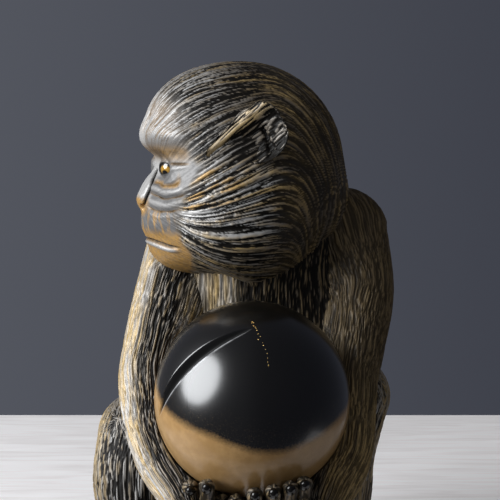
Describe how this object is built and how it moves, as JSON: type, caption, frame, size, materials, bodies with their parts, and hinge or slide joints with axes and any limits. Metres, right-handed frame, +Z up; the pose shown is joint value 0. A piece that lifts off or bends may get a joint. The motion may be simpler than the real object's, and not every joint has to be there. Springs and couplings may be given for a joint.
{
  "type": "monkey figurine with a ball",
  "caption": "Seated monkey figurine in carved-fur bronze finish, head turned over its shoulder, arms around a large two-tone lacquered ball that lifts out.",
  "frame": {"origin": "centre of the felt pad's underside, on the table", "axes": "+Z up; the figure faces -Y and its own left is +X, and its head looks over its right shoulder towards -X"},
  "size_m": [0.1191, 0.134, 0.2094],
  "materials": {
    "fur_paint": "cast resin, black base coat dry-brushed with bronze, gold and silver on the carved fur",
    "ball_lacquer": "glossy lacquer, black above fading into tan gold below",
    "amber_glass": "polished amber with a dark pupil",
    "steel_dowel": "plain ground pin",
    "base_board": "bare fibreboard",
    "felt": "black felt"
  },
  "bodies": {
    "figure": {"body_casting": "fur_paint", "head_casting": "fur_paint", "left_ear": "fur_paint", "right_ear": "fur_paint", "left_eye": "amber_glass", "right_eye": "amber_glass", "left_arm": "fur_paint", "right_arm": "fur_paint", "left_hand": "fur_paint", "right_hand": "fur_paint", "left_leg": "fur_paint", "right_leg": "fur_paint", "left_foot": "fur_paint", "right_foot": "fur_paint", "neck_dowel": "steel_dowel", "limb_dowels": "steel_dowel", "end_dowels": "steel_dowel", "base_plate": "base_board", "felt_pad": "felt", "foot_pads": "felt"},
    "ball": {"ball_shell": "ball_lacquer", "ball_plug": "ball_lacquer"}
  },
  "joints": [
    {"name": "ball_lift", "type": "slide", "parent": "figure", "child": "ball", "axis": [0, -0.7071, 0.7071], "range_m": [0, 0.08]}
  ]
}
